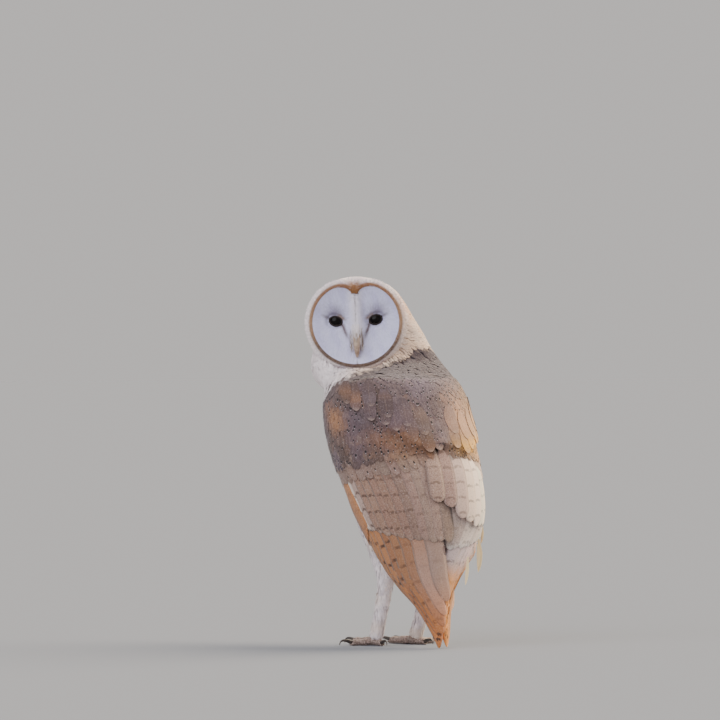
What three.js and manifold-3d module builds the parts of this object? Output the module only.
// A life-size barn owl standing on the ground with its wings folded, looking back over its left shoulder.
// Millimetres, +Z up. The breast faces -Y and the owl's own left side is +X.
import * as THREE from "three";
import { mergeVertices } from "three/addons/utils/BufferGeometryUtils.js";
import Module from "manifold-3d";

const wasm = await Module();
wasm.setup();

// ---- Driving dimensions ----------------------------------------------------------------------------
const GAP = 0.5; // clearance between neighbouring pieces
const FAR = 600; // larger than the whole owl, for cutting blocks
const FINENESS = 0.4; // facets smaller than this are merged away

const HEAD_TURN_DEG = 147; // the face points this far round from straight ahead
const HEAD_TILT_DEG = -2.5; // roll of the head about its own forward axis
const HEAD_CENTRE = new THREE.Vector3(15, -44, 300.4);

const DISC_HALF_WIDTH = 42.8; // facial disc, heart-shaped
const DISC_RISE = 40.3; // centre to the top of the lobes, before the notch
const DISC_DROP = 41.5;
const NOTCH_DEPTH = 12.7;
const NOTCH_SPREAD = 9.5;
const DISC_PLANE = 20; // how far the rim stands in front of the head's centre
const DISH_DEPTH = 8.5;
const SKULL_DEPTH = 45; // head's centre to the back of the crown feathers

const EYE_RADIUS = 8;
const EYE_SPACING = 18.6; // from the middle of the face
const EYE_RISE = 1.8;
const EYE_FORWARD = 7.5;

const WING_SPLIT_GAP = 1.6; // space between the two wings' inner edges along the back

const TAIL_TIP_HEIGHT = 30;
const FEET_HALF_SPACING = 22;
const ANKLE_HEIGHT = 64;

// ---- Small helpers -------------------------------------------------------------------------------------
const rad = THREE.MathUtils.degToRad;
const lerp = THREE.MathUtils.lerp;
const smoothstep = THREE.MathUtils.smoothstep;
const vec = (x, y, z) => new THREE.Vector3(x, y, z);
const bell = (x, width) => Math.exp(-((x / width) ** 2));

// Smooth interpolation in a table of rows [key, value, value, ...] with falling or rising keys.
function table(rows) {
  const sorted = [...rows].sort((a, b) => a[0] - b[0]);
  const slope = (i, k) => {
    if (i === 0 || i === sorted.length - 1) return null;
    const before = (sorted[i][k] - sorted[i - 1][k]) / (sorted[i][0] - sorted[i - 1][0]);
    const after = (sorted[i + 1][k] - sorted[i][k]) / (sorted[i + 1][0] - sorted[i][0]);
    return before * after <= 0 ? 0 : (2 * before * after) / (before + after);
  };
  return (key) => {
    const x = THREE.MathUtils.clamp(key, sorted[0][0], sorted.at(-1)[0]);
    let i = 0;
    while (i < sorted.length - 2 && x > sorted[i + 1][0]) i++;
    const span = sorted[i + 1][0] - sorted[i][0];
    const t = (x - sorted[i][0]) / span;
    return sorted[i].slice(1).map((low, k) => {
      const high = sorted[i + 1][k + 1];
      const straight = (high - low) / span;
      const m0 = (slope(i, k + 1) ?? straight) * span;
      const m1 = (slope(i + 1, k + 1) ?? straight) * span;
      const t2 = t * t;
      const t3 = t2 * t;
      return (2 * t3 - 3 * t2 + 1) * low + (t3 - 2 * t2 + t) * m0 + (3 * t2 - 2 * t3) * high + (t3 - t2) * m1;
    });
  };
}

const headForward = vec(Math.sin(rad(HEAD_TURN_DEG)), -Math.cos(rad(HEAD_TURN_DEG)), 0);
const headLeft = vec(-headForward.y, headForward.x, 0);

// A closed skin over rings of points, each ring having the same number of points, with a fan over each end.
function loft(rings) {
  const n = rings[0].length;
  const middle = (ring) => ring.reduce((sum, p) => sum.add(p), vec(0, 0, 0)).divideScalar(n);
  const points = [...rings.flat(), middle(rings[0]), middle(rings.at(-1))];
  const first = rings.length * n;
  const index = [];
  for (let j = 0; j + 1 < rings.length; j++) {
    for (let i = 0; i < n; i++) {
      const a = j * n + i;
      const b = j * n + ((i + 1) % n);
      index.push(a, b, b + n, a, b + n, a + n);
    }
  }
  for (let i = 0; i < n; i++) {
    const next = (i + 1) % n;
    index.push(first, next, i);
    index.push(first + 1, (rings.length - 1) * n + i, (rings.length - 1) * n + next);
  }
  return new THREE.BufferGeometry().setFromPoints(points).setIndex(index);
}

// A closed sheet between an outer and an inner surface, each given as point(column, row).
function sheet(columns, rows, outer, inner) {
  const points = [];
  for (const surface of [outer, inner]) {
    for (let i = 0; i <= columns; i++) {
      for (let j = 0; j <= rows; j++) points.push(surface(i, j));
    }
  }
  const half = (columns + 1) * (rows + 1);
  const at = (i, j) => i * (rows + 1) + j;
  const index = [];
  const quad = (a, b, c, d) => index.push(a, b, c, a, c, d);
  for (let i = 0; i < columns; i++) {
    for (let j = 0; j < rows; j++) {
      quad(at(i, j), at(i + 1, j), at(i + 1, j + 1), at(i, j + 1));
      quad(half + at(i, j), half + at(i, j + 1), half + at(i + 1, j + 1), half + at(i + 1, j));
    }
  }
  const edge = (a, b) => quad(b, a, half + a, half + b);
  for (let i = 0; i < columns; i++) {
    edge(at(i, 0), at(i + 1, 0));
    edge(at(i + 1, rows), at(i, rows));
  }
  for (let j = 0; j < rows; j++) {
    edge(at(columns, j), at(columns, j + 1));
    edge(at(0, j + 1), at(0, j));
  }
  return new THREE.BufferGeometry().setFromPoints(points).setIndex(index);
}

// A closed geometry as a solid, whichever way round its faces were listed.
function solid(geometry) {
  const bare = new THREE.BufferGeometry().setAttribute("position", geometry.getAttribute("position"));
  if (geometry.index) bare.setIndex(geometry.index);
  const merged = mergeVertices(bare, 1e-3);
  const triVerts = new Uint32Array(merged.index.array);
  const p = merged.getAttribute("position");
  let volume = 0;
  for (let i = 0; i < triVerts.length; i += 3) {
    const [a, b, c] = [0, 1, 2].map((k) => new THREE.Vector3().fromBufferAttribute(p, triVerts[i + k]));
    volume += a.dot(b.cross(c));
  }
  if (volume < 0) {
    for (let i = 0; i < triVerts.length; i += 3) {
      [triVerts[i + 1], triVerts[i + 2]] = [triVerts[i + 2], triVerts[i + 1]];
    }
  }
  return new wasm.Manifold(new wasm.Mesh({ numProp: 3, vertProperties: p.array, triVerts }));
}

// The same shape with its surface moved out by a small distance, for cutting clearance into a neighbour.
// A point on a sharp edge moves further, so that both faces beside it clear by the full distance.
function grown(geometry, distance = GAP) {
  const bare = new THREE.BufferGeometry().setAttribute("position", geometry.getAttribute("position").clone());
  if (geometry.index) bare.setIndex(geometry.index.clone());
  const merged = mergeVertices(bare, 1e-3);
  merged.computeVertexNormals();
  const p = merged.getAttribute("position");
  const n = merged.getAttribute("normal");
  const sharpness = new Float32Array(p.count).fill(1);
  let volume = 0;
  for (let i = 0; i < merged.index.count; i += 3) {
    const ids = [0, 1, 2].map((k) => merged.index.getX(i + k));
    const [a, b, c] = ids.map((id) => vec(0, 0, 0).fromBufferAttribute(p, id));
    volume += a.dot(b.clone().cross(c));
    const facing = b.clone().sub(a).cross(c.clone().sub(a)).normalize();
    for (const id of ids) {
      const lean = facing.dot(vec(0, 0, 0).fromBufferAttribute(n, id));
      sharpness[id] = Math.min(sharpness[id], lean);
    }
  }
  const outward = volume > 0 ? distance : -distance;
  for (let i = 0; i < p.count; i++) {
    const step = outward / Math.max(sharpness[i], 0.4);
    p.setXYZ(i, p.getX(i) + n.getX(i) * step, p.getY(i) + n.getY(i) * step, p.getZ(i) + n.getZ(i) * step);
  }
  return solid(merged).add(solid(geometry));
}

// A block that fills everything on one side of a plane.
function beyond(point, normal) {
  const box = new THREE.BoxGeometry(2 * FAR, 2 * FAR, 2 * FAR);
  box.translate(0, 0, FAR);
  const turn = new THREE.Quaternion().setFromUnitVectors(vec(0, 0, 1), normal.clone().normalize());
  box.applyQuaternion(turn);
  box.translate(point.x, point.y, point.z);
  return solid(box);
}

const ground = beyond(vec(0, 0, 0), vec(0, 0, 1));
const largest = (shape) => shape.decompose().sort((a, b) => b.volume() - a.volume())[0];

const owl = new THREE.Group();

function addPiece(name, shape, material, fineness = FINENESS) {
  const made = largest(largest(shape).simplify(fineness)).getMesh();
  const points = new Float32Array(made.numVert * 3);
  for (let i = 0; i < made.numVert; i++) {
    points.set(made.vertProperties.subarray(i * made.numProp, i * made.numProp + 3), i * 3);
  }
  const geometry = new THREE.BufferGeometry()
    .setAttribute("position", new THREE.BufferAttribute(points, 3))
    .setIndex(new THREE.BufferAttribute(made.triVerts, 1));
  geometry.computeVertexNormals();
  const mesh = new THREE.Mesh(geometry, material);
  mesh.name = name;
  owl.add(mesh);
  return mesh;
}

const finish = (color, roughness) => new THREE.MeshStandardMaterial({ color, roughness, metalness: 0 });
const materials = {
  face: finish(0xe9e4ea, 0.9),
  nape: finish(0xe2c9a2, 0.9),
  mantle: finish(0x9b8a86, 0.9),
  breast: finish(0xf1ece6, 0.9),
  wing: finish(0xbfa58c, 0.85),
  flight: finish(0xc99a5f, 0.8),
  leg: finish(0xefe9e0, 0.9),
  toe: finish(0xb9a397, 0.6),
  claw: finish(0x3a322e, 0.35),
  bill: finish(0xd8cbb4, 0.4),
  eye: finish(0x0c0a09, 0.05),
};

// ---- Body envelope -----------------------------------------------------------------------------------
// Level sections of neck and trunk: height, centre x, centre y, half-width, half-depth.
const trunkSection = table([
  [258, 3, -26, 16, 14],
  [255.5, 3, -24, 34, 32],
  [251, 2, -19, 49, 47],
  [245, 1, -14, 58, 54],
  [238, 0, -9, 63.5, 58.5],
  [222, 0, -3, 64, 59],
  [190, 0, 5, 61, 59],
  [160, 0, 19, 55, 54],
  [135, 0, 32, 46, 47],
  [112, 0, 45, 35, 38],
  [96, 0, 57, 26, 27],
  [85, 0, 65, 16, 16],
  [79, 0, 69, 8, 8],
]);

// Level sections through the outside of the folded wings: height, centre y, half-width, half-depth.
const wingSection = table([
  [255, -14, 61, 54],
  [235, -8, 67, 59],
  [215, -1, 68, 59.5],
  [190, 9, 70.5, 62],
  [153, 28, 69.5, 59],
  [130, 37, 67.5, 57],
  [100, 48, 59.5, 49],
  [80, 57, 54, 39],
  [60, 68, 45.5, 27.5],
  [36, 80, 29.5, 15.5],
  [15, 86, 19, 10],
  [0, 89, 13, 8],
]);

// A point of the wing envelope, round from the middle of the back (0) to the owl's side (90 degrees).
function onWings(side, angle, z, outward) {
  const [y, halfWidth, halfDepth] = wingSection(z);
  return vec(side * (halfWidth + outward) * Math.sin(angle), y + (halfDepth + outward) * Math.cos(angle), z);
}

const ringOf = (count, make) => Array.from({ length: count }, (_, i) => make((i / count) * 2 * Math.PI));

function trunkGeometry() {
  const levels = [79, 83, 92, 106, 126, 150, 176, 202, 224, 238, 246, 253, 258];
  return loft(
    levels.map((z) => {
      const [x, y, halfWidth, halfDepth] = trunkSection(z);
      return ringOf(22, (a) => vec(x + halfWidth * Math.cos(a), y + halfDepth * Math.sin(a), z));
    }),
  );
}

// The hindneck sweeps from the side of the turned head down onto the shoulders. Level sections, with their
// centres measured towards the head's own left and towards its face, then half-width and half-depth.
const hindneckSection = table([
  [339.5, -32, -46, 12, 12],
  [337, -30, -46, 20.5, 19],
  [328, -25, -46, 27.5, 25],
  [318, -20.7, -46, 30, 27],
  [302, -16, -47, 34.6, 28],
  [285, -13, -47, 42.5, 28],
  [270, -10, -46, 49, 27],
  [262, -9, -42, 54, 32],
  [256, -8, -34, 58, 42],
  [249, -6, -25, 61, 50],
  [236, -4, -12, 62, 56],
]);

function hindneckGeometry() {
  const levels = [236, 243, 249, 256, 262, 270, 279, 291, 304, 317, 328, 335, 339.5];
  return loft(
    levels.map((z) => {
      const [left, forward, halfWidth, halfDepth] = hindneckSection(z);
      return ringOf(22, (a) => {
        const across = left + halfWidth * Math.cos(a);
        const along = forward + halfDepth * Math.sin(a);
        return vec(0, 0, z).addScaledVector(headLeft, across).addScaledVector(headForward, along);
      });
    }),
  );
}

// The white throat fluffs out beneath the turned head. Its axes follow the head's.
function throatGeometry() {
  const throat = new THREE.SphereGeometry(1, 16, 10);
  throat.scale(28, 30, 27);
  throat.translate(-52, -39, 260);
  throat.applyMatrix4(new THREE.Matrix4().makeBasis(headLeft, headForward, vec(0, 0, 1)));
  return throat;
}

// ---- Head ----------------------------------------------------------------------------------------------
const headTurn = new THREE.Matrix4()
  .makeBasis(headLeft, headForward, vec(0, 0, 1))
  .multiply(new THREE.Matrix4().makeRotationY(rad(HEAD_TILT_DEG)));
// Head axes: x to the owl's left, y forward out of the face, z up.
const headPlace = new THREE.Matrix4().makeTranslation(HEAD_CENTRE).multiply(headTurn);
const inHead = (geometry) => geometry.applyMatrix4(headPlace);

// The heart outline: how far the disc's rim is from its centre, at an angle from the owl's left.
function discReach(angle, scale = 1) {
  const c = Math.cos(angle);
  const s = Math.sin(angle);
  const height = s > 0 ? DISC_RISE : DISC_DROP;
  const plain = 1 / Math.hypot(c / DISC_HALF_WIDTH, s / height);
  const notch = s > 0 ? NOTCH_DEPTH * Math.exp(-Math.abs(plain * c) / NOTCH_SPREAD) : 0;
  return plain * scale - notch * scale ** 4;
}

// The forward height of the face at x, z: a dish on each side of a raised ridge that runs down to the bill.
const ridgeLine = table([
  [28, 18, 5],
  [14, 20, 6.5],
  [0, 22, 8.5],
  [-10, 24, 8],
  [-20, 22, 6],
  [-30, 14, 4.5],
  [-42, 12, 4],
]);

function faceHeight(x, z, share) {
  const dish = DISC_PLANE - DISH_DEPTH * (1 - share ** 2.4);
  const [top, width] = ridgeLine(z);
  return dish + Math.max(0, top - dish) * bell(x, width) * (1 - share ** 4);
}

// Points round the face lie closer together near the ridge, above and below.
const faceRing = (count, make) => ringOf(count, (a) => make(a + 0.24 * Math.sin(2 * a)));

function headGeometry(count = 32) {
  const shares = [0.13, 0.29, 0.45, 0.61, 0.77, 0.91, 1];
  const face = shares.map((share) =>
    faceRing(count, (a) => {
      const reach = discReach(a, share);
      const x = reach * Math.cos(a);
      const z = reach * Math.sin(a);
      return vec(x, faceHeight(x, z, share), z);
    }),
  );
  // Behind the rim the notch fills in and the crown, cheeks and occiput close over the back.
  const depths = [16, 6, -6, -17, -27, -35, -41, -SKULL_DEPTH];
  const crown = depths.map((y) => {
    const rounding = Math.sqrt(1 - (Math.min(y, 0) / (SKULL_DEPTH + 1.2)) ** 2);
    return faceRing(count, (a) => {
      const plain = 1 / Math.hypot(Math.cos(a) / 45.3, Math.sin(a) / 42.3);
      const reach = lerp(discReach(a), plain, smoothstep(DISC_PLANE - y, 0, 16)) * rounding;
      return vec(reach * Math.cos(a), y, reach * Math.sin(a));
    });
  });
  return inHead(loft([...face, ...crown]));
}

function eyeGeometry(side) {
  const eye = new THREE.SphereGeometry(EYE_RADIUS, 12, 8);
  eye.translate(side * EYE_SPACING, EYE_FORWARD, EYE_RISE);
  return inHead(eye);
}

// A tapering horn along a line of stations: x, y, z, half-width, half-height, in the head's axes or the owl's.
function horn(stations, sides = 10) {
  const centres = stations.map(([x, y, z]) => vec(x, y, z));
  return loft(
    stations.map(([, , , halfWidth, halfHeight], i) => {
      const ahead = centres[Math.min(i + 1, centres.length - 1)];
      const behind = centres[Math.max(i - 1, 0)];
      const along = ahead.clone().sub(behind).normalize();
      const reference = Math.abs(along.x) > 0.9 ? vec(0, 0, 1) : vec(1, 0, 0);
      const across = reference.clone().addScaledVector(along, -reference.dot(along)).normalize();
      const up = along.clone().cross(across);
      return Array.from({ length: sides }, (_, k) => {
        const a = (k / sides) * 2 * Math.PI;
        return centres[i]
          .clone()
          .addScaledVector(across, halfWidth * Math.cos(a))
          .addScaledVector(up, halfHeight * Math.sin(a));
      });
    }),
  );
}

function upperBillGeometry() {
  return inHead(
    horn([
      [0, 16, -6, 3.2, 3.4],
      [0, 20.5, -10, 3.8, 4.2],
      [0, 22.5, -16, 3.6, 4],
      [0, 23, -22, 3, 3.4],
      [0, 22, -27.5, 2.1, 2.5],
      [0, 19.6, -31.5, 1.2, 1.4],
      [0, 17.8, -33.4, 0.45, 0.5],
    ]),
  );
}

function lowerBillGeometry() {
  return inHead(
    horn([
      [0, 11.5, -15, 2.6, 1.8],
      [0, 14.6, -20, 2.8, 1.9],
      [0, 16.4, -25, 2.2, 1.5],
      [0, 16.8, -28.5, 1, 0.8],
    ]),
  );
}

// ---- Wings ---------------------------------------------------------------------------------------------
// Where the folded wing's edges run, by height: angles of the leading and trailing edge round the body.
const edgeAngles = {
  left: table([
    [250, 96, 34],
    [235, 112, 22],
    [215, 121, 10],
    [190, 127, 4],
    [160, 119, 1],
    [130, 109, 0],
    [100, 104, 0],
    [80, 106, 4],
    [60, 108, 8],
    [36, 106, 4],
    [15, 104, -10],
    [0, 100, -20],
  ]),
  right: table([
    [250, 96, 34],
    [235, 112, 22],
    [215, 119, 10],
    [190, 116, 4],
    [160, 108, 1],
    [130, 104, 0],
    [116, 102, 0],
    [107, 88, -1],
    [99, 74, -2],
    [90, 59, -3],
    [80, 43, -4],
    [70, 26, -6],
    [60, 12, -9],
    [36, -1, -24],
    [15, -10, -36],
    [0, -16, -44],
  ]),
};

const TIP_ROWS = [0.04, 0.11, 0.2, 0.3, 0.41, 0.52, 0.63, 0.74, 0.85, 0.95]; // middles of the ten primaries
const PRIMARY_ENDS = [7, 0, 1, 3, 6, 10, 15, 22, 31, 43]; // tip heights, outermost first

// Height of the lower edge at a share of the way in from the leading edge, with each tip rounded off.
function primaryEnd(share, lift) {
  let lowest = 96;
  TIP_ROWS.forEach((middle, k) => {
    const off = (share - middle) / 0.06;
    const end = PRIMARY_ENDS[k] + 5 * off ** 2;
    if (Math.abs(off) < 1.1) lowest = Math.min(lowest, end);
  });
  return Math.max(lift, lowest);
}

const scallop = (share, count, depth) => depth * (1 - Math.abs(Math.sin(share * count * Math.PI)));

function wingGeometry(side, columns = 20) {
  const name = side > 0 ? "left" : "right";
  const wristTop = (share) => 246 - 26 * (1 - share) ** 3 - 30 * share ** 2.2;
  const covertEnd = (share) => 168 - 22 * (1 - share) + scallop(share, 11, 3);
  const secondaryEnd = (share) => (side > 0 ? 98 : 92) + 18 * (1 - share) ** 2 + scallop(share, 9, 4);
  // Row heights: three storeys of rows, with a step down where each storey ends.
  const rowsIn = [3, 2, 3];
  const stations = [];
  rowsIn.forEach((count, storey) => {
    for (let j = 0; j <= count; j++) stations.push([storey, j / count]);
  });
  const height = (share, [storey, t]) => {
    const marks = [wristTop(share), covertEnd(share), secondaryEnd(share), primaryEnd(share, 0.02)];
    marks[2] = Math.max(marks[2], marks[3] + 1.2);
    const nudge = t === 0 && storey > 0 ? 0.5 : 0;
    return lerp(marks[storey] - nudge, marks[storey + 1], t);
  };
  const thickness = table([
    [250, 5],
    [235, 9],
    [190, 10],
    [130, 8.5],
    [100, 6.5],
    [60, 3.4],
    [20, 2],
    [0, 1.4],
  ]);
  const place = (i, j, depth) => {
    const share = i / columns;
    const [storey] = stations[j];
    const z = height(share, stations[j]);
    const [leading, trailing] = edgeAngles[name](z);
    const angle = rad(lerp(leading, trailing, share));
    // The right wing's tip passes beneath the left one, next to the tail.
    const tucked = side < 0 ? 5.5 * (1 - smoothstep(z, 55, 150)) : 0;
    const relief = [0, -1.6, -3.2][storey];
    const rim = 1 - bell(share, 0.05) - bell(1 - share, 0.04);
    const outward = relief - tucked - (1 - rim) * 1.5 - depth * thickness(z)[0] * lerp(0.45, 1, rim);
    const point = onWings(side, angle, z, outward);
    point.x += (side * WING_SPLIT_GAP) / 2;
    return point;
  };
  const rows = stations.length - 1;
  return sheet(
    columns,
    rows,
    (i, j) => place(i, j, 0),
    (i, j) => place(i, j, 1),
  );
}

// How low the shoulder feathers reach: slanting down towards the back on the left, rounded on the right.
function capeBottom(side, share) {
  const plain =
    side > 0 ? 181 + 48 * share + 10 * (1 - smoothstep(share, 0, 0.12)) : 181 + 46 * Math.abs(share - 0.34) ** 1.7;
  return plain + scallop(share, 5, 3);
}

// Shoulder feathers that lie over the top of each wing as one lobe.
function scapularGeometry(side, columns = 10) {
  const rows = 6;
  const [from, to] = side > 0 ? [10, 72] : [2, 76];
  const place = (i, j, depth) => {
    const share = i / columns;
    const angle = rad(lerp(from, to, share));
    const top = 252 - 10 * (2 * share - 1) ** 2;
    const bottom = capeBottom(side, share);
    const t = j / rows;
    const z = lerp(top, bottom, t);
    const lift = 4.2 * Math.sin(Math.PI * (t * 0.72 + 0.06)) ** 0.7;
    const rim = 1 - 0.75 * (2 * Math.abs(share - 0.5)) ** 6;
    const outer = 0.9 + lift * rim;
    return onWings(side, angle, z, depth ? 0.5 - 3 * bell(t, 0.3) : outer).add(vec((side * WING_SPLIT_GAP) / 2, 0, 0));
  };
  return sheet(
    columns,
    rows,
    (i, j) => place(i, j, 0),
    (i, j) => place(i, j, 1),
  );
}

// ---- Tail ----------------------------------------------------------------------------------------------
// The closed tail: height, distance behind the origin, half-width, thickness.
const tailSection = table([
  [146, 69, 11, 7],
  [120, 76, 14, 6],
  [90, 80.5, 16.5, 4.4],
  [60, 82, 17.5, 3],
  [30, 82.5, 17.5, 1.8],
]);

function tailGeometry() {
  const columns = 12;
  const rows = 5;
  const arch = 0.024;
  const place = (i, j, depth) => {
    const across = (2 * i) / columns - 1;
    const tip = TAIL_TIP_HEIGHT + 7 * across ** 2 + scallop(i / columns, 6, 2.5);
    const z = lerp(146, tip, j / rows);
    const [y, halfWidth, thickness] = tailSection(z);
    const x = across * halfWidth;
    const rim = 1 - 0.5 * across ** 6;
    return vec(x, y - arch * x * x - depth * thickness * rim, z);
  };
  return sheet(
    columns,
    rows,
    (i, j) => place(i, j, 0),
    (i, j) => place(i, j, 1),
  );
}

// ---- Legs ----------------------------------------------------------------------------------------------
const hipStations = [
  [29, 10, 152, 21, 23],
  [28, 10, 130, 20, 22.5],
  [26.5, 13, 110, 16.5, 19],
  [25, 17, 92, 12.5, 14.5],
  [24.2, 20, 76, 9.6, 11],
  [23.8, 21.5, ANKLE_HEIGHT, 7.6, 8.4],
];
const shankStations = [
  [23.7, 21.5, ANKLE_HEIGHT - 0.8, 7, 7.8],
  [23.3, 17.5, 50, 6.2, 6.8],
  [22.8, 10.5, 30, 5.4, 5.8],
  [22.3, 4, 14, 5.8, 6],
  [FEET_HALF_SPACING, 1, 7.6, 6.4, 6.6],
];

// Toes: name, heading from straight ahead towards the outside, length without claw, thickness, claw length.
const toes = [
  { name: "inner", heading: -22, length: 30, radius: 3.9, claw: 16 },
  { name: "middle", heading: 6, length: 33, radius: 3.9, claw: 17 },
  { name: "outer", heading: 78, length: 26, radius: 3.5, claw: 14 },
  { name: "hind", heading: 172, length: 17, radius: 3.4, claw: 13 },
];

const mirrorX = (side, stations) => stations.map(([x, ...rest]) => [side * x, ...rest]);

function toeLine(side, toe) {
  const a = rad(toe.heading);
  const direction = vec(side * Math.sin(a), -Math.cos(a), 0);
  const root = vec(side * FEET_HALF_SPACING, 0, 0);
  return (along, z) => root.clone().addScaledVector(direction, along).setZ(z);
}

// A toe bulges at each pad and pinches at each joint between them.
function toeGeometry(side, toe) {
  const at = toeLine(side, toe);
  const steps = 5;
  return horn(
    Array.from({ length: steps + 1 }, (_, k) => {
      const t = k / steps;
      const pads = 1 + 0.09 * Math.cos(t * 2.5 * 2 * Math.PI);
      const radius = toe.radius * lerp(1.15, 0.8, t) * pads;
      const p = at(t * toe.length, lerp(toe.radius * 1.25, toe.radius * 0.86, smoothstep(t, 0, 0.5)));
      return [p.x, p.y, p.z, radius, radius];
    }),
    7,
  );
}

// A claw springs from the top of the toe's end and curves down until its point meets the ground.
function clawGeometry(side, toe) {
  const at = toeLine(side, toe);
  const start = toe.radius * 0.95;
  const steps = 4;
  return horn(
    Array.from({ length: steps + 1 }, (_, k) => {
      const t = k / steps;
      const along = toe.length - 2.5 + toe.claw * 0.86 * Math.sin((t * Math.PI) / 2.15);
      const z = start + 2.6 * Math.sin(t * Math.PI * 0.72) - (start + 1.1) * t ** 3;
      const radius = lerp(2.1, 0.32, t ** 0.9);
      const p = at(along, Math.max(z, radius + 0.05));
      return [p.x, p.y, p.z, radius, radius];
    }),
    6,
  );
}

// ---- Putting the owl together -----------------------------------------------------------------------
const sides = [
  ["left", 1],
  ["right", -1],
];

const eyes = sides.map(([, side]) => eyeGeometry(side));
const upperBill = upperBillGeometry();
const lowerBill = lowerBillGeometry();
const wings = sides.map(([, side]) => wingGeometry(side));
const scapulars = sides.map(([, side]) => scapularGeometry(side));
const tail = tailGeometry();
const thighs = sides.map(([, side]) => horn(mirrorX(side, hipStations), 14));
const shanks = sides.map(([, side]) => horn(mirrorX(side, shankStations), 10));

const without = (shape, cutters) => cutters.reduce((rest, cutter) => rest.subtract(cutter), shape);

sides.forEach(([name], i) => addPiece(`eye_${name}`, solid(eyes[i]), materials.eye));
addPiece("bill_upper", solid(upperBill), materials.bill);
addPiece("bill_lower", solid(lowerBill).subtract(grown(upperBill)), materials.bill);

const wingCutters = wings.map((wing) => grown(wing));
const scapularCutters = scapulars.map((lobe) => grown(lobe));
const tailCutter = grown(tail);
sides.forEach(([name], i) => {
  const shape = without(solid(wings[i]), [...scapularCutters, ...(i === 1 ? [wingCutters[0]] : [])]);
  addPiece(`wing_${name}`, shape.intersect(ground), materials.wing);
});
sides.forEach(([name], i) => {
  addPiece(`scapulars_${name}`, without(solid(scapulars[i]), i === 1 ? [scapularCutters[0]] : []), materials.mantle);
});
addPiece("tail", without(solid(tail), wingCutters), materials.flight);

// Head, neck and trunk are one form. The head is the whole of its own rounded shape and the top of the
// hindneck; the neck and trunk meet on a sloping plane.
const levelCut = (point, tilt) => {
  const normal = vec(0, -Math.sin(rad(tilt)), Math.cos(rad(tilt)));
  const lift = normal.clone().multiplyScalar(GAP / 2);
  return {
    above: beyond(point.clone().add(lift), normal),
    below: beyond(point.clone().sub(lift), normal.clone().negate()),
  };
};
const occiputCut = levelCut(vec(0, 0, 284), 0);
const neckCut = levelCut(vec(0, -10, 243), 16);

const hindneck = solid(hindneckGeometry());
const body = solid(trunkGeometry()).add(hindneck).add(solid(throatGeometry()));
// The body is hollowed for the wings and their shoulder feathers with plainer shapes, a little larger.
const plainCutters = sides.flatMap(([, side]) => [wingGeometry(side, 10), scapularGeometry(side, 5)]);
const wingSide = [...plainCutters.map((geometry) => grown(geometry, GAP + 0.9)), tailCutter];
const thighCutters = thighs.map((thigh) => grown(thigh));
const faceCutters = [...eyes, upperBill, lowerBill].map((geometry) => grown(geometry));

addPiece("head", without(solid(headGeometry()).add(hindneck.intersect(occiputCut.above)), faceCutters), materials.face);
const underHead = [grown(headGeometry(18), 1.2), ...wingSide];
const neck = body.intersect(occiputCut.below).intersect(neckCut.above);
const trunk = body.intersect(neckCut.below);
addPiece("neck", without(neck, underHead), materials.nape, 0.5);
addPiece("trunk", without(trunk, [...underHead, ...thighCutters]), materials.breast, 0.5);

sides.forEach(([name, side], i) => {
  addPiece(`thigh_${name}`, without(solid(thighs[i]), wingCutters), materials.leg);
  addPiece(`shank_${name}`, solid(shanks[i]).subtract(thighCutters[i]), materials.leg);
  const claws = toes.map((toe) => clawGeometry(side, toe));
  const pad = new THREE.SphereGeometry(7.2, 8, 4);
  pad.scale(1, 1.1, 0.8);
  pad.translate(side * FEET_HALF_SPACING, -0.5, 4.4);
  const foot = toes.reduce((made, toe) => made.add(solid(toeGeometry(side, toe))), solid(pad));
  const footCutters = [grown(shanks[i]), ...claws.map((claw) => grown(claw))];
  addPiece(`foot_${name}`, without(foot.intersect(ground), footCutters), materials.toe, 0.4);
  toes.forEach((toe, k) => {
    addPiece(`claw_${name}_${toe.name}`, solid(claws[k]).intersect(ground), materials.claw);
  });
});

// The origin is on the ground, beneath the middle of the owl's bounding box.
const box = new THREE.Box3().setFromObject(owl);
const middle = box.getCenter(new THREE.Vector3());
owl.position.set(-middle.x, -middle.y, 0);

export default owl;
